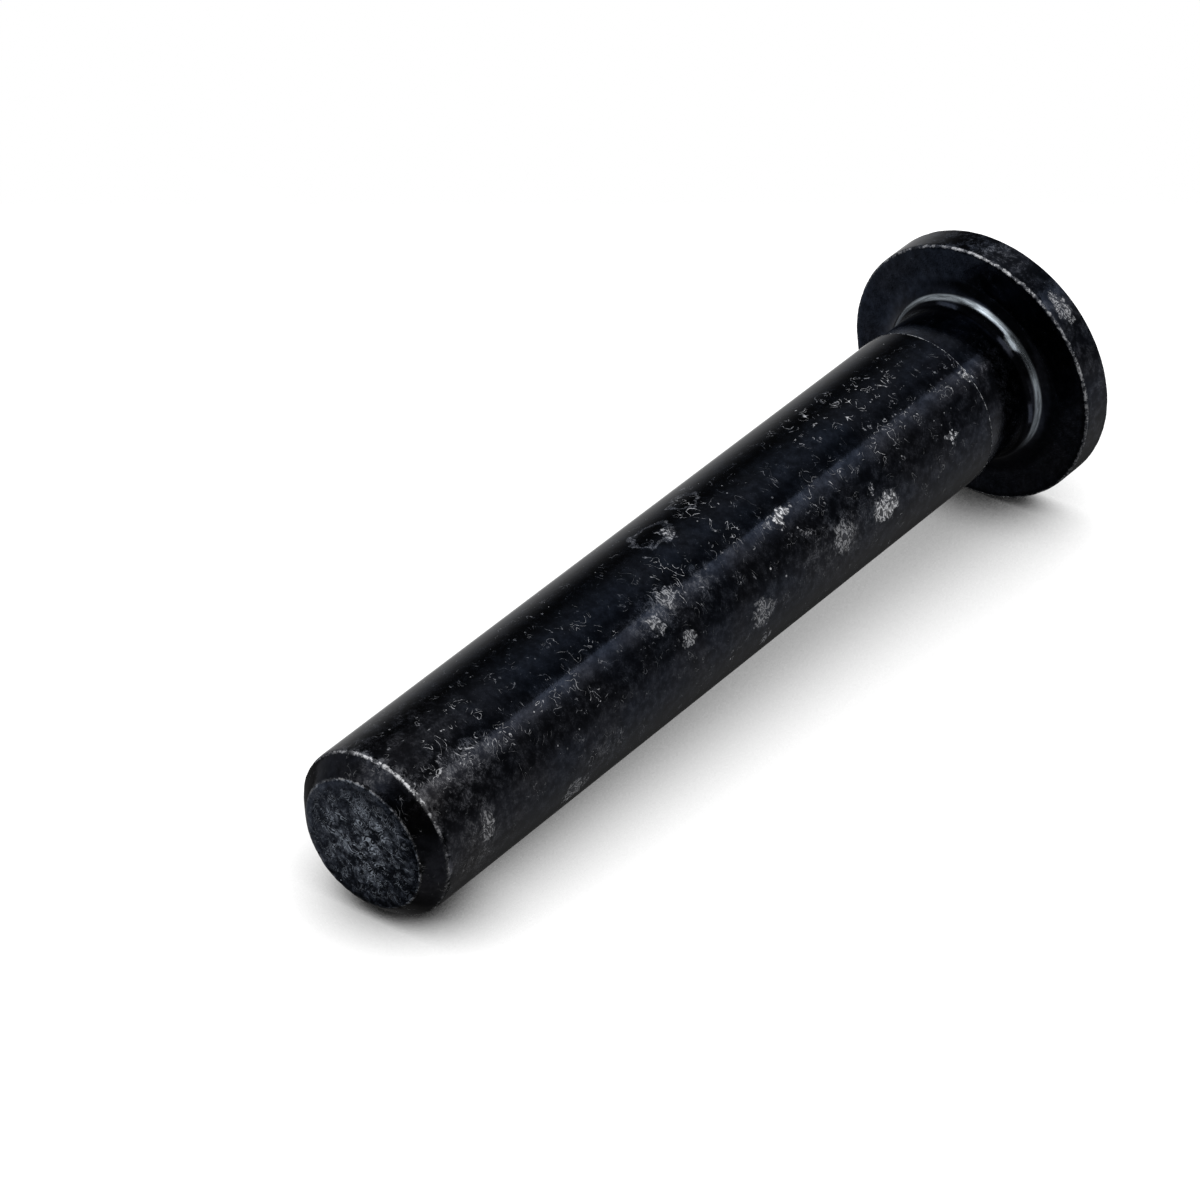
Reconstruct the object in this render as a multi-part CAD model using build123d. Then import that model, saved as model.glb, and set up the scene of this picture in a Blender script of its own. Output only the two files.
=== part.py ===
"""Headed clevis pin, turned in one piece: a flat round head, a relieved neck that
flares into the head through a root fillet, a plain bearing shank and a bevelled tip.

Millimetres. +Z runs along the pin from the head to the tip. The origin is the centre
of the head's outer face, on which the pin stands.
"""

from build123d import *
import os

# Shank: the cylinder that bears in the clevis and the rod end
SHANK_DIAMETER = 10.0
GRIP_LENGTH = 55.0  # from the head's bearing face to the tip's end face

# Head
HEAD_DIAMETER = 16.5
HEAD_THICKNESS = 2.3
BEARING_RIM_ROUND = 0.15  # rim edge on the shank's side
OUTER_RIM_CHAMFER = 0.2  # rim edge on the outer face

# Neck: turned down a little, so that the ground shank ends in a clean step
NECK_DIAMETER = 9.6
NECK_LENGTH = 4.8  # from the bearing face to the shank's end
STEP_CHAMFER = 0.06
ROOT_FILLET = 1.5  # flare from the neck into the bearing face

# Tip: lead-in bevel for starting the pin in its hole
BEVEL_LENGTH = 1.1
BEVEL_DEPTH = 1.1
BEVEL_EDGE_ROUND = 0.25  # where the bevel meets the shank
FACE_EDGE_ROUND = 0.2  # where the bevel meets the end face

head_radius = HEAD_DIAMETER / 2
shank_radius = SHANK_DIAMETER / 2
neck_radius = NECK_DIAMETER / 2
face_radius = shank_radius - BEVEL_DEPTH

bearing_z = HEAD_THICKNESS
shank_end_z = bearing_z + NECK_LENGTH
tip_z = bearing_z + GRIP_LENGTH
bevel_z = tip_z - BEVEL_LENGTH

# Corners of the half section, as (radius, height)
outer_rim = (head_radius, 0)
bearing_rim = (head_radius, bearing_z)
root = (neck_radius, bearing_z)
neck_end = (neck_radius, shank_end_z)
shank_end = (shank_radius, shank_end_z)
bevel_edge = (shank_radius, bevel_z)
face_edge = (face_radius, tip_z)


def half_section():
    """The pin's outline on one side of its axis, with every edge broken."""
    with BuildSketch(Plane.XZ) as section:
        with BuildLine():
            Polyline(
                (0, 0),
                outer_rim,
                bearing_rim,
                root,
                neck_end,
                shank_end,
                bevel_edge,
                face_edge,
                (0, tip_z),
                close=True,
            )
        make_face()
        chamfer(corner(section, outer_rim), OUTER_RIM_CHAMFER)
        fillet(corner(section, bearing_rim), BEARING_RIM_ROUND)
        fillet(corner(section, root), ROOT_FILLET)
        chamfer(corner(section, shank_end), STEP_CHAMFER)
        fillet(corner(section, bevel_edge), BEVEL_EDGE_ROUND)
        fillet(corner(section, face_edge), FACE_EDGE_ROUND)
    return section.sketch


def corner(section, place):
    """The section's vertex at a (radius, height)."""
    return section.vertices().sort_by_distance(place)[0]


def clevis_pin():
    """The half section turned about the axis."""
    pin = revolve(half_section(), axis=Axis.Z)
    pin.label = "clevis_pin"
    return pin


os.makedirs("parts", exist_ok=True)
export_step(clevis_pin(), "parts/clevis_pin.step")
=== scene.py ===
"""Headed clevis pin in worn black oxide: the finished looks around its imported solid.

The pin stands on its head at the origin, +Z from the head to the tip, in metres. The main
camera sees it lying on a white board, so the stage is laid out on that board: the board
touches the pin along the rim of its head and the edge of its tip's bevel.
"""

import math

import bpy
from bpy.props import FloatProperty, FloatVectorProperty, PointerProperty
from mathutils import Matrix, Vector, noise


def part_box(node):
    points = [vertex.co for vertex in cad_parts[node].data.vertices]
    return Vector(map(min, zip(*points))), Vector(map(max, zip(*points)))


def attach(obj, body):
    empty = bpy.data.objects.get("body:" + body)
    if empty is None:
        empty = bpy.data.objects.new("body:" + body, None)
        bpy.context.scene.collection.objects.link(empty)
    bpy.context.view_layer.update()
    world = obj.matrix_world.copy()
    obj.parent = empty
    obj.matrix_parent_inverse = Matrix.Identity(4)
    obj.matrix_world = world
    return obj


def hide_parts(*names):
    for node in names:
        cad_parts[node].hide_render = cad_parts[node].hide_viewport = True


bl_info = {
    "name": "Headed clevis pin",
    "version": (1, 0, 0),
    "blender": (4, 5, 0),
    "location": "3D View > Sidebar > Clevis Pin",
    "description": "Turns a clevis pin in worn black oxide and lays out the board it is shown on",
    "category": "Add Mesh",
}

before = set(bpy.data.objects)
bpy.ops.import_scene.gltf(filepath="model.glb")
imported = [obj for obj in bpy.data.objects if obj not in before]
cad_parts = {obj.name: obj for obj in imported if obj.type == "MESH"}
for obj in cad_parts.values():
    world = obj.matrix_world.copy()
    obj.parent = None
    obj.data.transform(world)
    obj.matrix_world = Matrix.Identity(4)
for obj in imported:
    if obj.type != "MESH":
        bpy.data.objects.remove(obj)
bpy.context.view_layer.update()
PIN_NODE = "clevis_pin"
PIN_BODY = "root"
PIN_LOW, PIN_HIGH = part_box(PIN_NODE)
MM = 0.001


# ---------------------------------------------------------------- sizes and colours


class PinShape(bpy.types.PropertyGroup):
    """Sizes of the turned pin."""

    head_diameter: FloatProperty(
        name="Head diameter",
        description="Across the flat round head",
        default=PIN_HIGH.x - PIN_LOW.x,
        unit="LENGTH",
    )
    length: FloatProperty(
        name="Length",
        description="From the head's outer face to the tip's end face",
        default=PIN_HIGH.z - PIN_LOW.z,
        unit="LENGTH",
    )
    head_thickness: FloatProperty(
        name="Head thickness",
        description="From the outer face to the bearing face",
        default=2.3 * MM,
        unit="LENGTH",
    )
    shank_diameter: FloatProperty(
        name="Shank diameter",
        description="Across the plain bearing shank",
        default=10.0 * MM,
        unit="LENGTH",
    )
    neck_diameter: FloatProperty(
        name="Neck diameter",
        description="Across the relief between the shank and the head",
        default=9.6 * MM,
        unit="LENGTH",
    )
    neck_length: FloatProperty(
        name="Neck length",
        description="From the bearing face to the end of the shank",
        default=4.8 * MM,
        unit="LENGTH",
    )
    root_fillet: FloatProperty(
        name="Root fillet",
        description="Radius of the flare from the neck into the bearing face",
        default=1.5 * MM,
        unit="LENGTH",
    )
    bevel: FloatProperty(
        name="Tip bevel",
        description="Depth and length of the 45 degree lead-in at the tip",
        default=1.1 * MM,
        unit="LENGTH",
    )
    edge_wear: FloatProperty(
        name="Edge wear",
        description="Deepest that a worn edge is rubbed away",
        default=0.06 * MM,
        unit="LENGTH",
    )


class PinFinish(bpy.types.PropertyGroup):
    """Colours of the black oxide and of what shows where it has worn; some of them also carry
    painted highlight, glints and sheen.
    """

    oxide: FloatVectorProperty(
        name="Black oxide",
        description="Reflection colour of the sound, oiled coating",
        default=(0.022, 0.029, 0.046),
        subtype="COLOR",
        size=3,
        min=0.0,
        max=1.0,
    )
    # Also painted on one side of the front line as a greyer reflection tint.
    thin_oxide: FloatVectorProperty(
        name="Thin oxide",
        description="Reflection colour where handling has thinned and dried the coating",
        default=(0.034, 0.033, 0.037),
        subtype="COLOR",
        size=3,
        min=0.0,
        max=1.0,
    )
    oxide_gloss: FloatProperty(
        name="Oxide roughness",
        description="Roughness of the oiled coating",
        default=0.10,
        min=0.0,
        max=1.0,
    )
    # Its colour and brightness are set to carry a painted highlight on the root fillet as well as
    # bare steel.
    steel: FloatVectorProperty(
        name="Burnished steel",
        description="Colour of the root fillet, which is rubbed bright",
        default=(0.68, 0.765, 0.85),
        subtype="COLOR",
        size=3,
        min=0.0,
        max=1.0,
    )
    # Also the colour of the painted glints on edges and of the painted sheen.
    scuff_and_sheen: FloatVectorProperty(
        name="Scuffed oxide",
        description="Colour of dry, pale scuffs in the coating",
        default=(0.97, 0.98, 1.0),
        subtype="COLOR",
        size=3,
        min=0.0,
        max=1.0,
    )
    haze: FloatVectorProperty(
        name="End face haze",
        description="Colour of the dry haze on the tip's end face",
        default=(0.78, 0.87, 1.0),
        subtype="COLOR",
        size=3,
        min=0.0,
        max=1.0,
    )


class PinStage(bpy.types.PropertyGroup):
    """Board, light and camera."""

    camera_distance: FloatProperty(
        name="Camera distance",
        description="From the camera to the point it is aimed at",
        default=304.35 * MM,
        unit="LENGTH",
    )
    lens: FloatProperty(
        name="Lens",
        description="Focal length on a 36 mm sensor, in millimetres",
        default=166.83,
        min=1.0,
    )
    board_glow: FloatProperty(
        name="Board in reflections",
        description="How light the board looks in the pin's finish, where 1 is white",
        default=0.30,
        min=0.0,
        max=1.0,
    )
    fill: FloatProperty(
        name="Fill lamps",
        description="Light that a fill lamp gives a matt surface, where 1 shows it as coloured",
        default=0.6,
        min=0.0,
    )


# ---------------------------------------------------------------- turned outline

# Broken edges, in millimetres
OUTER_CHAMFER = 0.2  # on the head's rim, at its outer face
BEARING_RIM_ROUND = 0.15  # on the head's rim, at its bearing face
STEP_CHAMFER = 0.06  # on the shank's end, at the neck
BEVEL_ROUND = 0.25  # where the bevel meets the shank
FACE_ROUND = 0.2  # where the bevel meets the end face

CENTRE_RADIUS = 0.05  # radius of the flat polygon that closes each end, in millimetres
UNWORN_RADIUS = 0.5  # nearer the axis than this, the two end faces stay as turned
SAME_POINT = 1e-4  # points nearer to each other than this, in millimetres, are one point
SEGMENTS = 540  # points round the pin


class PinSizes:
    """Radii, heights and depths of the pin, in millimetres."""

    def __init__(self, shape):
        self.head = shape.head_diameter / 2 / MM
        self.shank = shape.shank_diameter / 2 / MM
        self.neck = shape.neck_diameter / 2 / MM
        self.fillet = shape.root_fillet / MM
        self.bevel = shape.bevel / MM
        self.wear = shape.edge_wear / MM
        self.bearing = shape.head_thickness / MM
        self.shank_end = self.bearing + shape.neck_length / MM
        self.tip = shape.length / MM
        self.bevel_start = self.tip - self.bevel


class Outline:
    """Half outline of a turned part, as (radius, height) points in order."""

    def __init__(self, radius, height):
        self.points = [(radius, height)]

    def run(self, radius, height, steps):
        """A straight cut to a point, in equal steps."""
        r0, z0 = self.points[-1]
        for step in range(1, steps + 1):
            share = step / steps
            self.points.append((r0 + (radius - r0) * share, z0 + (height - z0) * share))

    def sweep(self, centre, radius, start, end, steps):
        """An arc about a centre, its angles measured from straight outward towards the tip."""
        for step in range(steps + 1):
            angle = math.radians(start + (end - start) * step / steps)
            point = (centre[0] + radius * math.cos(angle), centre[1] + radius * math.sin(angle))
            if math.dist(point, self.points[-1]) > SAME_POINT:
                self.points.append(point)


def pin_outline(sizes):
    """The pin's outline, from the middle of the head's face to the middle of the tip's."""
    head, shank, neck = sizes.head, sizes.shank, sizes.neck
    bearing, shank_end, tip = sizes.bearing, sizes.shank_end, sizes.tip
    fillet = sizes.fillet
    half_turn = math.tan(math.radians(22.5))  # from a 45 degree corner to where its round begins
    slant = math.cos(math.radians(45))

    cut = Outline(CENTRE_RADIUS, 0.0)

    # Head
    rim_top = bearing - BEARING_RIM_ROUND
    cut.run(head - 0.9, 0.0, 9)
    cut.run(head - OUTER_CHAMFER, 0.0, 6)
    cut.run(head, OUTER_CHAMFER, 4)
    cut.run(head, OUTER_CHAMFER + 0.25, 4)
    cut.run(head, rim_top - 0.3, 5)
    cut.run(head, rim_top, 5)
    cut.sweep((head - BEARING_RIM_ROUND, rim_top), BEARING_RIM_ROUND, 0, 90, 6)
    cut.run(head - 0.7, bearing, 6)
    cut.run(neck + fillet, bearing, 5)

    # Neck
    cut.sweep((neck + fillet, bearing + fillet), fillet, 270, 180, 16)
    cut.run(neck, shank_end - 0.3, 8)
    cut.run(neck, shank_end, 5)

    # Shank, with shorter steps near its two ends, where it is worn
    bevel_tangent = sizes.bevel_start - BEVEL_ROUND * half_turn
    cut.run(shank - STEP_CHAMFER, shank_end, 3)
    cut.run(shank, shank_end + STEP_CHAMFER, 2)
    cut.run(shank, shank_end + 0.7, 9)
    cut.run(shank, sizes.bevel_start - 0.8, 36)
    cut.run(shank, bevel_tangent, 9)

    # Bevel and end face
    face = shank - sizes.bevel
    face_setback = FACE_ROUND * half_turn
    cut.sweep((shank - BEVEL_ROUND, bevel_tangent), BEVEL_ROUND, 0, 45, 5)
    cut.run(face + face_setback * slant, tip - face_setback * slant, 12)
    cut.sweep((face - face_setback, tip - FACE_ROUND), FACE_ROUND, 45, 90, 5)
    cut.run(face - 0.5, tip, 5)
    cut.run(CENTRE_RADIUS, tip, 8)
    return cut.points


def worn_edges(sizes):
    """Edges that handling has rubbed: radius, height, reach and depth of wear, in millimetres."""
    return (
        (sizes.shank, sizes.bevel_start, 0.45, sizes.wear),
        (sizes.shank - sizes.bevel, sizes.tip, 0.40, sizes.wear),
        (sizes.head, sizes.bearing, 0.35, sizes.wear),
        (sizes.head, 0.1, 0.30, sizes.wear * 0.7),
        (sizes.shank, sizes.shank_end, 0.18, sizes.wear * 0.5),
    )


RIPPLE = 0.0015  # slow ripple that turning leaves all over, in millimetres
NICK_OFFSET = Vector((7.0, 3.0, 1.0))  # keeps the nicks apart from the ragged wear
NICK_RARITY = 0.28  # noise above this leaves a nick

# One chip in the shank's end: degrees round from the front line, then sizes in millimetres
CHIP_TURN = 0.0
CHIP_WIDTH = 0.42
CHIP_LENGTH = 0.22
CHIP_DEPTH = 0.13


def chipped(radius, height, turn, shank_end):
    """How much of the chip there is at a point, from 0 to 1; the neck has none."""
    if height < shank_end - SAME_POINT:
        return 0.0
    off = (math.degrees(turn) - CHIP_TURN + 180) % 360 - 180
    across = math.radians(off) * radius / CHIP_WIDTH
    along = (height - shank_end) / CHIP_LENGTH
    return math.exp(-(across**2)) * math.exp(-(along**2))


def rub(radius, height, turn, edges, shank_end):
    """How far wear, nicks and the chip move a point in from its turned place, in millimetres."""
    place = Vector((math.sin(turn) * radius, math.cos(turn) * radius, height))
    depth = RIPPLE * (1 + noise.noise(place * 0.35))
    for edge_radius, edge_height, reach, deepest in edges:
        away = math.dist((radius, height), (edge_radius, edge_height)) / reach
        if away < 1:
            ragged = 0.45 + 0.55 * noise.noise(place * 1.6) + 0.35 * noise.noise(place * 4.5)
            nick = max(0.0, noise.noise(place * 2.3 + NICK_OFFSET) - NICK_RARITY) * 1.6
            depth += deepest * (1 - away) ** 2 * (max(0.0, ragged) + nick)
    chip = chipped(radius, height, turn, shank_end)
    return depth + CHIP_DEPTH * chip * (1 + 0.4 * noise.noise(place * 5))


def lathe(name, outline, segments, inset):
    """A closed mesh turned from an outline in millimetres, each point moved inward by inset."""
    rings = len(outline)
    normals = []
    for i in range(rings):
        r0, z0 = outline[max(i - 1, 0)]
        r1, z1 = outline[min(i + 1, rings - 1)]
        run = math.hypot(r1 - r0, z1 - z0)
        normals.append(((z1 - z0) / run, -(r1 - r0) / run))
    verts = []
    for (radius, height), (out, up) in zip(outline, normals):
        for k in range(segments):
            turn = 2 * math.pi * k / segments
            depth = inset(radius, height, turn) if radius > UNWORN_RADIUS else 0.0
            r = (radius - out * depth) * MM
            z = (height - up * depth) * MM
            verts.append((-math.sin(turn) * r, math.cos(turn) * r, z))
    faces = []
    for i in range(rings - 1):
        low, high = i * segments, (i + 1) * segments
        for k in range(segments):
            n = (k + 1) % segments
            faces.append((low + k, low + n, high + n, high + k))
    faces.append(tuple(reversed(range(segments))))
    faces.append(tuple((rings - 1) * segments + k for k in range(segments)))
    mesh = bpy.data.meshes.new(name)
    mesh.from_pydata(verts, [], faces)
    mesh.polygons.foreach_set("use_smooth", [True] * len(faces))
    mesh.update()
    mesh.validate()
    piece = bpy.data.objects.new(name, mesh)
    bpy.context.scene.collection.objects.link(piece)
    return piece


# ---------------------------------------------------------------- shader nodes


class Signal:
    """A value in a node tree; arithmetic on it adds Math nodes."""

    def __init__(self, bench, socket):
        self.bench = bench
        self.socket = socket

    def maths(self, operation, *others):
        return self.bench.maths(operation, self, *others)

    def __add__(self, other):
        return self.maths("ADD", other)

    def __sub__(self, other):
        return self.maths("SUBTRACT", other)

    def __mul__(self, other):
        return self.maths("MULTIPLY", other)

    def __truediv__(self, other):
        return self.maths("DIVIDE", other)

    def __pow__(self, other):
        return self.maths("POWER", other)

    def __rsub__(self, other):
        return self.bench.maths("SUBTRACT", other, self)

    def __rtruediv__(self, other):
        return self.bench.maths("DIVIDE", other, self)

    __radd__ = __add__
    __rmul__ = __mul__

    def most(self, other):
        return self.maths("MAXIMUM", other)

    def least(self, other):
        return self.maths("MINIMUM", other)

    def size(self):
        return self.maths("ABSOLUTE")

    def sine(self):
        return self.maths("SINE")

    def rise(self, low, high):
        """0 below low and 1 above high, smoothly; falls instead where low is above high."""
        return self.bench.add(
            "ShaderNodeMapRange",
            {"interpolation_type": "SMOOTHSTEP"},
            {"Value": self, "From Min": low, "From Max": high},
        )

    def band(self, start, full, fading, gone):
        """1 from full to fading, and smoothly down to 0 at start and at gone."""
        return self.rise(start, full) * self.rise(gone, fading)


class Bench:
    """Adds nodes to one material's or world's tree."""

    def __init__(self, tree):
        self.tree = tree
        tree.nodes.clear()

    def add(self, kind, settings=None, inputs=None, output=0):
        """A node of a kind, its settings made first, then its sockets; gives one of its outputs."""
        node = self.tree.nodes.new(kind)
        for name, value in (settings or {}).items():
            setattr(node, name, value)
        for key, value in (inputs or {}).items():
            socket = node.inputs[key]
            if isinstance(value, Signal):
                self.tree.links.new(value.socket, socket)
            else:
                socket.default_value = value
        return Signal(self, node.outputs[output]) if node.outputs else None

    def maths(self, operation, *values):
        return self.add("ShaderNodeMath", {"operation": operation}, dict(enumerate(values)))

    def vector(self, operation, *values, output=0):
        settings = {"operation": operation}
        return self.add("ShaderNodeVectorMath", settings, dict(enumerate(values)), output)

    def stretched(self, vector, by):
        """A vector multiplied by a number for each of its axes."""
        return self.vector("MULTIPLY", vector, by)

    def dimmed(self, colour, by):
        """A colour multiplied by one number."""
        return self.add("ShaderNodeVectorMath", {"operation": "SCALE"}, {0: colour, "Scale": by})

    def blend(self, a, b, share):
        """Colour a turned into colour b by a share."""
        return self.add("ShaderNodeMix", {"data_type": "RGBA"}, {0: share, 6: a, 7: b}, 2)

    def noise(self, place, scale, detail=2.0, roughness=0.5, twist=0.0, output=0):
        inputs = {
            "Vector": place,
            "Scale": scale,
            "Detail": detail,
            "Roughness": roughness,
            "Distortion": twist,
        }
        return self.add("ShaderNodeTexNoise", None, inputs, output)

    def cells(self, place, scale):
        """Distance to the nearest of scattered points, and a random colour for each point."""
        away = self.add("ShaderNodeTexVoronoi", None, {"Vector": place, "Scale": scale}, "Distance")
        return away, Signal(self, away.socket.node.outputs["Color"])

    def parts(self, vector):
        """The x, y and z of a vector."""
        split = self.add("ShaderNodeSeparateXYZ", None, {0: vector})
        return [Signal(self, socket) for socket in split.socket.node.outputs]


def rgba(colour, factor=1.0):
    return tuple(channel * factor for channel in colour) + (1.0,)


# ---------------------------------------------------------------- black oxide finish

# Marks listed on the unrolled shank: height, degrees round from the front line, half the
# length and half the width, in millimetres. The front line is at row azimuth 180, and degrees
# count up towards row azimuth 270.
BRIGHT_FLAKES = (
    (25.0, 3.6, 0.72, 0.46),
    (17.4, -37.0, 1.15, 0.82),
    (10.7, -25.6, 0.42, 0.28),
    (7.25, 1.0, 0.40, 0.40),
)
DULL_FLAKES = (
    (34.9, 5.6, 0.70, 0.62),
    (36.6, -3.0, 0.55, 0.60),
    (21.3, -35.0, 0.90, 0.95),
    (29.0, -43.0, 0.95, 0.85),
    (35.1, -23.5, 0.50, 0.45),
    (18.1, -20.4, 0.30, 0.28),
    (26.1, 4.6, 0.25, 0.25),
    (23.9, -17.3, 0.28, 0.16),
    (52.9, -41.0, 0.45, 0.90),
    (45.4, -67.0, 1.10, 0.70),
    (28.7, -66.0, 0.40, 0.50),
    (31.1, 41.0, 0.40, 0.50),
    (1.15, -1.0, 0.55, 0.55),
)
SOFT_RUBS = (
    (35.7, 2.0, 2.40, 1.00),
    (32.1, -1.0, 0.90, 1.10),
    (52.9, 1.0, 3.20, 1.20),
    (43.1, -52.0, 1.50, 0.90),
    (53.5, -48.0, 1.20, 3.00),
    (21.7, -34.0, 3.20, 1.40),
    (6.0, -2.0, 1.00, 0.55),
    (1.30, 32.0, 0.80, 1.10),
    (56.7, 31.0, 0.45, 0.80),
)
WISPS = (
    (15.9, 38.0, 5.00, 1.70),
    (40.5, 22.0, 2.20, 1.50),
    (51.5, 20.0, 3.20, 1.50),
    (33.7, 10.0, 1.60, 1.90),
    (28.2, 34.0, 1.20, 2.30),
    (43.0, -52.0, 1.40, 0.60),
    (42.6, -18.0, 1.00, 0.70),
    (17.9, 2.0, 7.00, 0.80),
    (49.6, 3.0, 6.00, 1.00),
)
RUBBED_RINGS = (
    (31.8, 48.0, 1.35, 0.95),
    (28.0, 56.0, 0.95, 0.75),
)
BORDER_DRIFT = 1.3  # width of the band that flakes, rubs and rings wander in, in millimetres
HALF_MATT = 0.04  # amount of scuff at which the surface is half metal and half matt


class PinSurface:
    """Where a point of the pin's surface lies, and the patterns that its marks share.

    Lengths are in millimetres. turn is the angle round from the front line, in radians.
    """

    def __init__(self, bench, sizes):
        self.bench = bench
        self.sizes = sizes
        own = bench.add("ShaderNodeTexCoord", output="Object")
        self.place = bench.stretched(own, (1 / MM, 1 / MM, 1 / MM))
        x, y, self.z = bench.parts(self.place)
        self.radius = (x * x + y * y) ** 0.5
        self.turn = bench.maths("ARCTAN2", 0 - x, y)
        self.unrolled = bench.add(
            "ShaderNodeCombineXYZ", None, {0: self.turn * sizes.shank, 1: self.z}
        )

        # The coating's unevenness, from slow to quick; scales are per millimetre
        self.clouds = bench.noise(self.place, 0.33, 2.0)
        self.patches = bench.noise(self.place, 1.3, 2.0)
        self.marble = bench.noise(self.place, 1.7, 4.0, 0.68)
        self.grain = bench.noise(self.place, 5.0, 2.0, 0.7)
        self.fine = bench.noise(self.place, 15.0, 1.0)

        # Twisted noise cut into bands makes curls; it is stretched a little round the pin
        wave_place = bench.stretched(own, (0.7 / MM, 0.7 / MM, 1 / MM))
        swirl_place = bench.stretched(own, (0.8 / MM, 0.8 / MM, 1 / MM))
        self.wave = bench.noise(wave_place, 2.4, 2.0, 0.55, 0.7)
        self.swirl = bench.noise(swirl_place, 1.1, 1.5, 0.5, 1.4)
        self.curls = (self.wave * 34).sine().rise(-0.20, 0.70)
        self.crackle = self.curls * (0.35 + 0.65 * self.grain.rise(0.35, 0.65))

        # The unrolled shank again, with its places pushed about
        drift = bench.noise(self.place, 2.1, 2.0, 0.6, output="Color")
        reach = (BORDER_DRIFT, BORDER_DRIFT, 0.0)
        centre = (BORDER_DRIFT / 2, BORDER_DRIFT / 2, 0.0)
        pushed = bench.vector("MULTIPLY_ADD", drift, reach, self.unrolled)
        self.ragged = bench.vector("SUBTRACT", pushed, centre)

    def marks(self, places, lay):
        """1 in the middle of each place, 0 on its border and less outside, on an unrolled shank."""
        nearest = None
        for height, degrees, half_length, half_width in places:
            centre = (math.radians(degrees) * self.sizes.shank, height, 0.0)
            scale = (1 / half_width, 1 / half_length, 0.0)
            offset = tuple(-c * s for c, s in zip(centre, scale))
            away = self.bench.vector("MULTIPLY_ADD", lay, scale, offset)
            away = self.bench.vector("LENGTH", away, output="Value")
            nearest = away if nearest is None else nearest.least(away)
        return 1 - nearest


def flakes(pin):
    """Flakes of lifted coating: curly and bright between dark cracks."""
    bright = pin.marks(BRIGHT_FLAKES, pin.ragged).rise(-0.10, 0.25)
    dull = pin.marks(DULL_FLAKES, pin.ragged).rise(-0.10, 0.25)
    return bright.most(dull * 0.45) * (0.06 + 0.85 * pin.crackle)


def soft_rubs(pin):
    """Faint rubbed patches, and two rubbed rings."""
    rubs = pin.marks(SOFT_RUBS, pin.ragged).rise(-0.4, 0.7) * pin.marble.rise(0.38, 0.62)
    rings = pin.marks(RUBBED_RINGS, pin.ragged).size().rise(0.2, 0.04)
    return rubs * (0.008 + 0.06 * pin.crackle) + rings * (0.02 + 0.10 * pin.crackle)


def threads(pin):
    """Thin curly scratches, scattered over the shank and thick in the wisps."""
    wispy = pin.marks(WISPS, pin.unrolled).rise(-0.5, 0.6)
    lines = (pin.swirl * 16 + 2 * pin.patches).sine().size().rise(0.20, 0.04)
    clusters = (pin.patches + 0.05 * wispy).rise(0.54, 0.62)
    gaps = 0.25 + 0.75 * pin.grain.rise(0.40, 0.58)
    above_neck = pin.z.rise(pin.sizes.shank_end - 0.3, pin.sizes.shank_end)
    strength = 0.16 * pin.clouds.rise(0.30, 0.56) + 0.42 * wispy
    return lines * clusters * gaps * above_neck * strength


def specks(pin):
    """Pin pricks where the coating has popped off, and finer dust."""
    away, chance = pin.bench.cells(pin.place, 2.3)
    pick, light, _ = pin.bench.parts(chance)
    pricks = (pick.rise(0.82, 1.0) * 0.18 - away).rise(0.0, 0.05) * (0.12 + 0.5 * light)
    above_neck = pin.z.rise(pin.sizes.shank_end - 3, pin.sizes.shank_end)
    dust = pin.fine.rise(0.68, 0.80) * pin.marble.rise(0.46, 0.64) * 0.05
    return (pricks * pin.clouds.rise(0.38, 0.55) * above_neck).most(dust)


def rubbed_edges_and_glints(pin):
    """Edges rubbed through to the steel, in crumbs and beads, drawn as pale matt lines that are
    partly painted glints, strongest near the front line.
    """
    sizes = pin.sizes
    chance = pin.clouds * 0.3 + pin.marble * 0.7
    crumble = (pin.grain - 0.5) * 1.8 + (pin.marble - 0.5) * 1.2
    beads = pin.bench.noise(pin.place, 3.0, 3.0, 0.7).rise(0.44, 0.60)

    def edge(radius, height, width, least, most, strength):
        """A rubbed line round the pin, broken where chance is under least and whole over most."""
        gap = ((pin.radius - radius) ** 2.0 + (pin.z - height) ** 2.0) ** 0.5
        line = (gap + width * crumble).rise(width, width * 0.3)
        return line * chance.rise(least, most) * strength

    # Painted glints: these shares make the edge lines strongest near the front line and on its side
    # toward positive turn.
    facing = pin.turn.band(-1.3, -0.1, 0.6, 1.3)
    upper = pin.turn.band(-0.4, 0.1, 0.7, 1.2)
    near = pin.turn.size().rise(2.0, 1.4)
    shank, head, bevel_start = sizes.shank, sizes.head, sizes.bevel_start
    lines = edge(shank - 0.03, bevel_start + 0.03, 0.15, 0.38, 0.56, 0.36 + 0.54 * upper)
    lines = lines.most(edge(shank, bevel_start - 0.25, 0.45, 0.46, 0.60, 0.07))
    lines = lines.most(edge(shank - sizes.bevel, sizes.tip, 0.12, 0.34, 0.54, 0.08 + 0.34 * near))
    lines = lines.most(edge(head, sizes.bearing - 0.03, 0.16, 0.32, 0.54, 0.28 + 0.50 * facing))
    lines = lines.most(edge(head - 0.05, 0.12, 0.12, 0.50, 0.62, 0.30))
    lines = lines.most(edge(shank - 0.02, sizes.shank_end + 0.04, 0.09, 0.24, 0.46, 0.55))
    return lines * (0.10 + 0.90 * beads)


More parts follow.
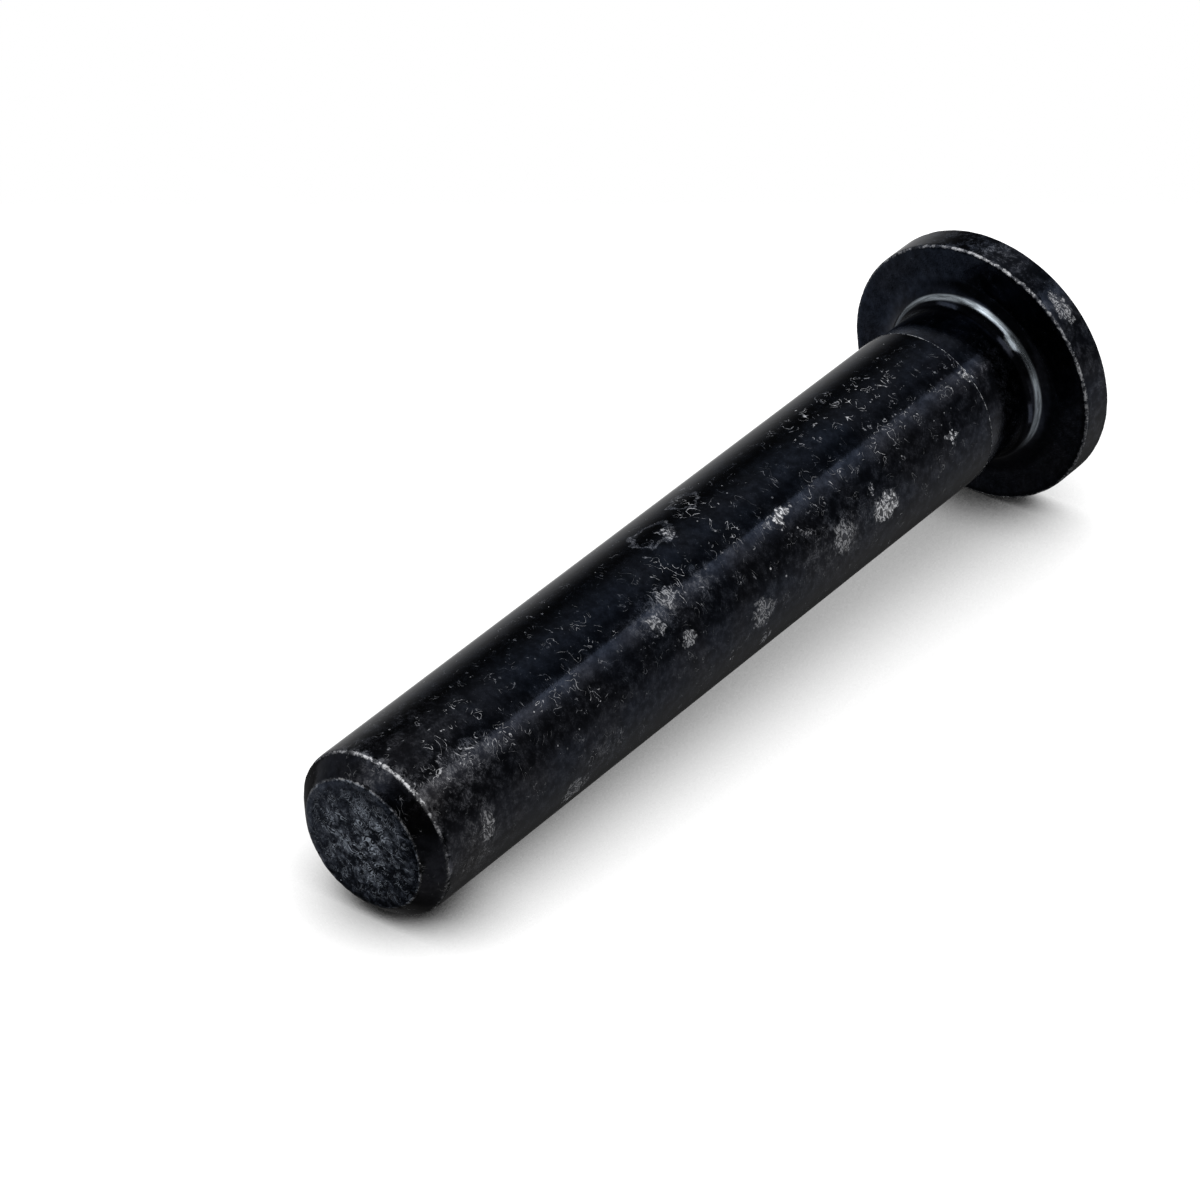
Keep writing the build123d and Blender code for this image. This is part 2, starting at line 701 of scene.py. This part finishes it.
def burnish_and_highlight(pin):
    """The root fillet, rubbed bright where the mating part turns on it, and streaks along it. Its
    reach round the pin, its narrowing at the front line, its fade toward negative turn and its
    streaks are set to where the reflected highlight shows, so it is partly a painted highlight.
    """
    sizes = pin.sizes
    flare = (sizes.neck + sizes.fillet - pin.radius) / sizes.fillet  # 1 on the neck
    front = pin.turn.band(-0.16, -0.06, 0.06, 0.16)
    ring_and_sheen = flare.rise(0.62, 0.69) * (flare - 0.09 * front).rise(0.85, 0.78)
    ring_and_sheen = ring_and_sheen * pin.z.rise(sizes.bearing + 1.2, sizes.bearing + 1.0)
    ring_and_sheen = ring_and_sheen * pin.turn.band(-1.75, -1.15, 2.2, 2.8) * (0.55 + 0.45 * pin.turn.rise(-1.1, -0.5))
    along = pin.bench.add("ShaderNodeCombineXYZ", None, {0: flare * 9, 1: pin.turn * 2.5})
    return ring_and_sheen, pin.bench.noise(along, 1.6, 3.0, 0.7).rise(0.30, 0.66)


def face_haze(pin, on_face):
    """A dry haze on the end face, thickest near its middle, with fine curly hairs in it."""
    middle = pin.radius.rise(pin.sizes.shank - pin.sizes.bevel, 1.2)
    cloudy = (0.01 + 0.21 * middle) * pin.marble.rise(0.46, 0.66)
    cloudy = cloudy * (0.2 + 0.8 * pin.grain.rise(0.38, 0.65))
    hairs = (pin.swirl * 100).sine().rise(0.1, 0.95) * pin.wave.rise(0.46, 0.60)
    return on_face * (0.002 + cloudy + (0.06 + 0.54 * middle) * hairs)


def neck_haze_and_sheen(pin):
    """A faint pale band round the neck next to the shank's end, away from the front line: partly
    dry haze, partly a painted sheen that lightens the neck where its reflection comes out dark.
    """
    shank_end = pin.sizes.shank_end
    ring_and_sheen = pin.z.band(shank_end - 1.6, shank_end - 0.4, shank_end - 0.02, shank_end + 0.02)
    return ring_and_sheen * pin.turn.size().rise(0.5, 1.2) * 0.05


def film_and_side_sheen(pin):
    """Thin grey film left by handling, and a painted sheen: pale grey on the shank's side toward
    negative turn, standing in for the board's reflection. The bearing face and the root fillet get
    almost none of it.
    """
    sizes = pin.sizes
    turn, z = pin.turn, pin.z
    # The turn share here is painted sheen on the side where the board's reflection falls; the share
    # near the tip is handling film.
    shank = 0.002 + 0.010 * turn.rise(0.0, -0.6) + 0.016 * z.rise(sizes.tip - 9.3, sizes.tip - 2.3)
    shank = shank + 0.006 * turn.band(-0.5, -0.2, 0.1, 0.25)
    shank = shank * z.rise(sizes.bevel_start + 0.15, sizes.bevel_start)
    bevel = 0.035 * turn.band(0.2, 0.5, 0.7, 0.95)
    bevel = bevel * z.rise(sizes.bevel_start, sizes.bevel_start + 0.1)
    rim = (0.012 + 0.020 * turn.rise(0.4, 0.6)) * z.rise(sizes.bearing + 0.02, sizes.bearing - 0.05)
    bearing_and_root = z.band(
        sizes.bearing - 0.03, sizes.bearing - 0.01, sizes.bearing + 1.2, sizes.bearing + 1.6
    )
    broken = pin.marble.rise(0.42, 0.68) * (0.25 + 0.75 * pin.curls)
    return broken * (shank + bevel + rim) * (1 - 0.9 * bearing_and_root)


def black_oxide(finish, sizes):
    """Oiled black oxide with its flakes, scuffs, threads, specks, haze and rubbed edges, and with
    painted glints, sheen and highlight.
    """
    material = bpy.data.materials.new("worn_black_oxide")
    material.use_nodes = True
    bench = Bench(material.node_tree)
    pin = PinSurface(bench, sizes)
    on_face = pin.z.rise(sizes.tip - 0.06, sizes.tip - 0.01)

    # Pale is how much matt scuffing shows, with the painted glints on the edges and the painted
    # sheen on the shank's side and on the neck; the rest is sound coating
    pale = flakes(pin).most(soft_rubs(pin)).most(threads(pin)).most(specks(pin))
    pale = pale.most(face_haze(pin, on_face)).most(rubbed_edges_and_glints(pin)) + film_and_side_sheen(pin) + neck_haze_and_sheen(pin)

    # Handling has thinned the coating near the tip and in cloudy patches. On the side of the front
    # line toward negative turn the coating is made greyer as well: a painted reflection tint,
    # standing in for the board's reflection.
    near_tip = pin.z.rise(sizes.tip - 11.3, sizes.tip - 3.3)
    painted_side_tint = pin.turn.rise(0.22, -0.1)
    worn = pin.clouds.rise(0.35, 0.65) * 0.3 + near_tip * 0.4 + painted_side_tint * 0.3
    worn = worn * (1 - on_face)
    mottle = (0.6 + 0.8 * pin.marble.rise(0.28, 0.72)) * (0.7 + 0.6 * pin.grain)
    coating = bench.blend(rgba(finish.oxide), rgba(finish.thin_oxide), worn)
    coating = bench.dimmed(coating, mottle)

    scuff_and_sheen = bench.blend(rgba(finish.scuff_and_sheen), rgba(finish.haze), on_face)
    scuff_and_sheen = bench.blend((0, 0, 0, 1), scuff_and_sheen, pale)
    ring_and_sheen, streaks = burnish_and_highlight(pin)
    # Steel along the streaks, dimmed and lifted past its own colour: partly a painted highlight.
    polish_and_highlight = bench.blend(rgba(finish.steel, 0.45), rgba(finish.steel, 1.25), streaks)
    colour = bench.blend(bench.vector("ADD", scuff_and_sheen, coating), polish_and_highlight, ring_and_sheen)

    metal = (HALF_MATT / (HALF_MATT + pale)).most(ring_and_sheen)
    rough = finish.oxide_gloss + 0.06 * (pin.grain - 0.5) + 0.06 * worn
    rough = rough + pale.least(0.35) + 0.08 * ring_and_sheen
    relief = pin.grain * 0.5 + pin.fine * 0.25 + pin.marble
    bump = bench.add(
        "ShaderNodeBump", None, {"Strength": 0.5, "Distance": 0.009 * MM, "Height": relief}
    )
    surface = bench.add(
        "ShaderNodeBsdfPrincipled",
        None,
        {"Base Color": colour, "Metallic": metal, "Roughness": rough, "Normal": bump},
    )
    bench.add("ShaderNodeOutputMaterial", None, {"Surface": surface})
    return material


# ---------------------------------------------------------------- stage

CAMERA_BEARING = 180.0  # degrees, row azimuth that the main camera stands at
CAMERA_HEIGHT = 38.896  # degrees above the plane that the head stands on
AIM = Vector((-2.59, 0.10, 34.76)) * MM  # point near the pin's axis that the camera is aimed at
BOARD_BEARING = 222.12  # degrees, row azimuth that the board faces
BOARD_BITE = 0.02 * MM  # how far the board cuts into the head's rim, so that no gap shows
BOARD_HALF = 60 * MM  # half of the board's side
FLOOR_HALF = 50 * MM
BOARD_SHADE = 45 * MM  # how far from the pin its shade reaches on the board
FLOOR_SHADE = 30 * MM
CONTACT_REACH = 5 * MM  # how far from the pin the shade of its touch reaches
HEAD_CONTACT = (7, 2)  # heights, in millimetres, over which that shade deepens to the head
TIP_CONTACT = (50, 56)  # and to the tip
FILL_DISTANCE = 500 * MM
FILL_SIZE = 350 * MM


def bearing_vector(azimuth, elevation):
    """Unit vector for a row azimuth and elevation in degrees; azimuth 0 is -Y and 90 is +X."""
    a, e = math.radians(azimuth), math.radians(elevation)
    return Vector((math.sin(a) * math.cos(e), -math.cos(a) * math.cos(e), math.sin(e)))


def board_facing(shape):
    """The board's normal: it touches the head's rim and the edge of the tip's bevel."""
    rise = (shape.head_diameter - shape.shank_diameter) / 2
    run = shape.length - shape.bevel - shape.head_thickness
    return bearing_vector(BOARD_BEARING, -math.degrees(math.atan2(rise, run)))


def studio_axes(shape):
    """Right, away and up for someone at the main camera who stands upright on the board."""
    up = board_facing(shape)
    back = bearing_vector(CAMERA_BEARING, CAMERA_HEIGHT)
    right = up.cross(back).normalized()
    away = up.cross(right)
    return right, away, up


def studio_direction(axes, azimuth, elevation):
    """Unit vector: azimuth right of straight away from the camera, elevation over the board."""
    right, away, up = axes
    a, e = math.radians(azimuth), math.radians(elevation)
    level = right * math.sin(a) + away * math.cos(a)
    return level * math.cos(e) + up * math.sin(e)


def flat_sheet(name, centre, across, along, half):
    """A square sheet, facing across x along, that only the camera sees."""
    signs = ((-1, -1), (1, -1), (1, 1), (-1, 1))
    corners = [centre + across * (i * half) + along * (j * half) for i, j in signs]
    mesh = bpy.data.meshes.new(name)
    mesh.from_pydata([tuple(corner) for corner in corners], [], [(0, 1, 2, 3)])
    sheet = bpy.data.objects.new(name, mesh)
    bpy.context.scene.collection.objects.link(sheet)
    sheet.visible_shadow = False
    sheet.visible_glossy = False
    sheet.visible_diffuse = False
    return sheet


def shadow_paper(name, reach, fade=None):
    """White paper with a painted shadow: ambient occlusion darkens its emission colour within reach
    of the pin, most where the pin touches it.

    It is see-through from behind. With fade it thins out to nothing instead: fade gives a
    direction, and the distances along it at which the paper is whole and gone.
    """
    material = bpy.data.materials.new(name)
    material.use_nodes = True
    material.cycles.emission_sampling = "NONE"
    bench = Bench(material.node_tree)
    position = bench.add("ShaderNodeNewGeometry", output="Position")
    open_sky = bench.add("ShaderNodeAmbientOcclusion", {"samples": 8}, {"Distance": reach}, "AO")
    untouched = bench.add(
        "ShaderNodeAmbientOcclusion", {"samples": 4}, {"Distance": CONTACT_REACH}, "AO"
    )
    height = bench.parts(position)[2] / MM
    ends = height.rise(*HEAD_CONTACT) + height.rise(*TIP_CONTACT)
    # Painted shadow: the paper's emission colour darkens near the pin and most at its two ends; no
    # lamp casts it.
    white = open_sky * 1.48 - 0.03 - (1 - untouched) * (0.05 + 0.38 * ends)
    paper = bench.add("ShaderNodeEmission", None, {"Color": white.most(0.01), "Strength": 1.0})
    clear = bench.add("ShaderNodeBsdfTransparent")
    if fade:
        facing, whole_at, gone_at = fade
        along = bench.vector("DOT_PRODUCT", position, tuple(facing), output="Value")
        hidden = along.rise(whole_at, gone_at)
    else:
        hidden = bench.add("ShaderNodeNewGeometry", output="Backfacing")
    mixed = bench.add("ShaderNodeMixShader", None, {0: hidden, 1: paper, 2: clear})
    bench.add("ShaderNodeOutputMaterial", None, {"Surface": mixed})
    return material


def low_studio(bearing, z, glow):
    """What steep downward rays meet: the board, and two strips beside it."""
    room = 0.035 + 0.085 * bearing.band(60, 120, 256, 276)
    board = 0.70 * glow * bearing.band(20, 92, 108, 136)
    board = board + 0.87 * glow * bearing.rise(282, 326) + glow * bearing.rise(338, 356)
    narrow = bearing.rise(161, 189) * (bearing + z * 47.5).rise(162.8, 161.6)
    narrow = narrow * (0.62 + 0.28 * z.rise(-0.68, -0.65))
    wide = 0.16 * bearing.band(208, 230, 234, 264)
    return room + board + narrow + wide


def level_studio(bearing):
    """What rays near the level meet: three strips, a quarter turn apart."""
    quarters = (bearing * math.radians(4)).maths("COSINE").rise(0.5, 0.8)
    return 0.05 + 0.75 * quarters * bearing.band(20, 60, 300, 340)


def high_studio(bench, ray, bearing, z, glow):
    """What upward rays meet: a window, a bar and a spot, with a soft glow to the right and left."""
    across = bearing.band(186, 196, 236, 246)
    window = across * z.band(0.36, 0.45, 0.53, 0.60) * 1.2
    above = across * z.band(0.5, 0.6, 0.70, 0.82) * 0.25
    bar = bench.vector("DOT_PRODUCT", ray, (0.08, 0.93, 0.36), output="Value").rise(0.985, 0.994)
    spot = bench.vector("DOT_PRODUCT", ray, (-0.70, 0.32, 0.64), output="Value").rise(0.95, 0.995)
    right = bearing.band(40, 70, 120, 140) * (0.2 + 0.4 * z.rise(0.68, 0.58))
    left = bearing.rise(250, 270) * z.rise(0.85, 0.60) * (0.65 + 0.6 * bearing.rise(320, 345))
    return 0.03 + glow * (right + left) + window + above + bar * 0.9 + spot * 0.6


def studio_dome(stage):
    """White to the camera and through clear things; to the pin a dim room with strip lights.

    The strips hang parallel to the pin. Bearings run round it as row azimuths do, in degrees, and
    z is how far up a ray points, from -1 to 1.
    """
    world = bpy.data.worlds.new("studio_dome")
    world.use_nodes = True
    world.cycles.sampling_method = "NONE"
    bench = Bench(world.node_tree)
    ray = bench.add("ShaderNodeTexCoord", output="Generated")
    x, y, z = bench.parts(ray)
    bearing = bench.maths("ARCTAN2", 0 - x, y) * math.degrees(1) + 180

    low = low_studio(bearing, z, stage.board_glow)
    level = level_studio(bearing)
    high = high_studio(bench, ray, bearing, z, stage.board_glow)
    dome = high + z.rise(0.01, -0.03) * (level - high)
    dome = dome + z.rise(-0.46, -0.53) * (low - dome)

    light = bench.add("ShaderNodeBackground", None, {"Color": dome, "Strength": 1.0})
    white = bench.add("ShaderNodeBackground", None, {"Color": (1, 1, 1, 1), "Strength": 1.0})
    camera_ray = bench.add("ShaderNodeLightPath", output="Is Camera Ray")
    through = bench.add("ShaderNodeLightPath", output="Is Transmission Ray")
    sky = bench.add("ShaderNodeMixShader", None, {0: camera_ray.most(through), 1: light, 2: white})
    bench.add("ShaderNodeOutputWorld", None, {"Surface": sky})
    return world


def fill_lamp(name, axes, azimuth, elevation, strength):
    """A broad soft lamp for the matt scuffs; the glossy coating shows the dome instead.

    At a strength of 1, it shows a matt surface that faces it as light as its colour.
    """
    data = bpy.data.lights.new(name, "AREA")
    data.shape = "DISK"
    data.size = FILL_SIZE
    data.energy = strength * math.pi**2 * FILL_DISTANCE**2
    lamp = bpy.data.objects.new(name, data)
    toward = studio_direction(axes, azimuth, elevation)
    lamp.location = AIM + toward * FILL_DISTANCE
    lamp.rotation_mode = "QUATERNION"
    lamp.rotation_quaternion = (-toward).to_track_quat("-Z", "Y")
    lamp.visible_glossy = False
    lamp.visible_camera = False
    bpy.context.scene.collection.objects.link(lamp)


def main_camera(stage, axes):
    """The main camera, level with the board."""
    data = bpy.data.cameras.new("main_camera")
    data.lens = stage.lens
    data.sensor_width = 36.0
    data.clip_start = 0.01
    data.clip_end = 20.0
    camera = bpy.data.objects.new("main_camera", data)
    back = bearing_vector(CAMERA_BEARING, CAMERA_HEIGHT)
    right = axes[0]
    over = back.cross(right)
    turn = Matrix((right, over, back)).transposed().to_4x4()
    camera.matrix_world = Matrix.Translation(AIM + back * stage.camera_distance) @ turn
    bpy.context.scene.collection.objects.link(camera)
    bpy.context.scene.camera = camera


# ---------------------------------------------------------------- operators


class CLEVISPIN_OT_turn_pin(bpy.types.Operator):
    """Turn the pin from its outline, wear its edges and give it its black oxide finish"""

    bl_idname = "clevispin.turn_pin"
    bl_label = "Turn the pin"

    def execute(self, context):
        sizes = PinSizes(context.scene.pin_shape)
        edges = worn_edges(sizes)

        def inset(radius, height, turn):
            return rub(radius, height, turn, edges, sizes.shank_end)

        piece = lathe("turned_pin", pin_outline(sizes), SEGMENTS, inset)
        if len(piece.data.polygons) == 0:
            raise RuntimeError("the pin has no faces")
        piece.data.materials.append(black_oxide(context.scene.pin_finish, sizes))
        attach(piece, PIN_BODY)
        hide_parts(PIN_NODE)
        return {"FINISHED"}


class CLEVISPIN_OT_set_stage(bpy.types.Operator):
    """Lay the board, the floor, the light and the camera"""

    bl_idname = "clevispin.set_stage"
    bl_label = "Set the stage"

    def execute(self, context):
        stage = context.scene.pin_stage
        shape = context.scene.pin_shape
        axes = studio_axes(shape)
        right, away, up = axes

        rim = bearing_vector(BOARD_BEARING + 180, 0) * (shape.head_diameter / 2 - BOARD_BITE)
        touch = rim + Vector((0, 0, shape.head_thickness))
        under_aim = AIM - up * (AIM - touch).dot(up)
        board = flat_sheet("white_board", under_aim, right, away, BOARD_HALF)
        board.data.materials.append(shadow_paper("board_paper", BOARD_SHADE))

        level = touch.dot(up)
        below_board = (up, level - 2 * MM, level)
        origin, east, north = Vector((0, 0, 0)), Vector((1, 0, 0)), Vector((0, 1, 0))
        floor = flat_sheet("white_floor", origin, east, north, FLOOR_HALF)
        floor.data.materials.append(shadow_paper("floor_paper", FLOOR_SHADE, below_board))

        context.scene.world = studio_dome(stage)
        fill_lamp("left_fill", axes, -110.0, 60.0, stage.fill)
        fill_lamp("right_fill", axes, 75.0, 40.0, stage.fill)
        fill_lamp("back_fill", axes, 0.0, -60.0, stage.fill)
        main_camera(stage, axes)
        context.scene.view_settings.view_transform = "Standard"
        return {"FINISHED"}


class CLEVISPIN_PT_bench(bpy.types.Panel):
    """Sizes, finish and stage of the clevis pin"""

    bl_idname = "CLEVISPIN_PT_bench"
    bl_label = "Clevis pin"
    bl_space_type = "VIEW_3D"
    bl_region_type = "UI"
    bl_category = "Clevis Pin"

    def draw(self, context):
        groups = (
            (context.scene.pin_shape, "clevispin.turn_pin"),
            (context.scene.pin_finish, None),
            (context.scene.pin_stage, "clevispin.set_stage"),
        )
        for group, operator in groups:
            box = self.layout.box()
            for name in group.__annotations__:
                box.prop(group, name)
            if operator:
                box.operator(operator)


CLASSES = (
    PinShape,
    PinFinish,
    PinStage,
    CLEVISPIN_OT_turn_pin,
    CLEVISPIN_OT_set_stage,
    CLEVISPIN_PT_bench,
)


def register():
    for cls in CLASSES:
        bpy.utils.register_class(cls)
    bpy.types.Scene.pin_shape = PointerProperty(type=PinShape)
    bpy.types.Scene.pin_finish = PointerProperty(type=PinFinish)
    bpy.types.Scene.pin_stage = PointerProperty(type=PinStage)


def unregister():
    del bpy.types.Scene.pin_stage
    del bpy.types.Scene.pin_finish
    del bpy.types.Scene.pin_shape
    for cls in reversed(CLASSES):
        bpy.utils.unregister_class(cls)


def main():
    register()
    bpy.ops.clevispin.turn_pin()
    bpy.ops.clevispin.set_stage()


if __name__ == "__main__":
    main()
